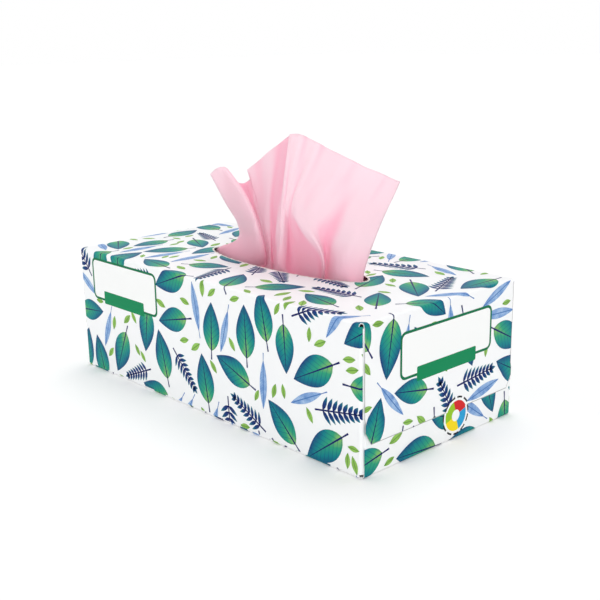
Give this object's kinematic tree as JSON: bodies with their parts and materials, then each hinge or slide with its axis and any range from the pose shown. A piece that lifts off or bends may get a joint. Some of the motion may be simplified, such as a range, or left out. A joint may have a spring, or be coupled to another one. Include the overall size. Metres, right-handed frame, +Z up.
{
  "type": "tissue box",
  "caption": "Paperboard carton of facial tissues with a leaf print, an oval slot in its top and a pink tissue pulled up through the slot.",
  "frame": {"origin": "centre of the carton's underside", "axes": "+X along the carton, towards the end with the printed round spot; +Y from the front panel to the back panel; +Z up"},
  "size_m": [0.225, 0.11, 0.141],
  "materials": {
    "carton": "coated, printed",
    "tissue_stack": "soft, matt",
    "pulled_sheet": "soft, matt"
  },
  "bodies": {
    "root": {"carton": "carton", "tissue_stack": "tissue_stack", "pulled_sheet": "pulled_sheet"}
  },
  "joints": []
}
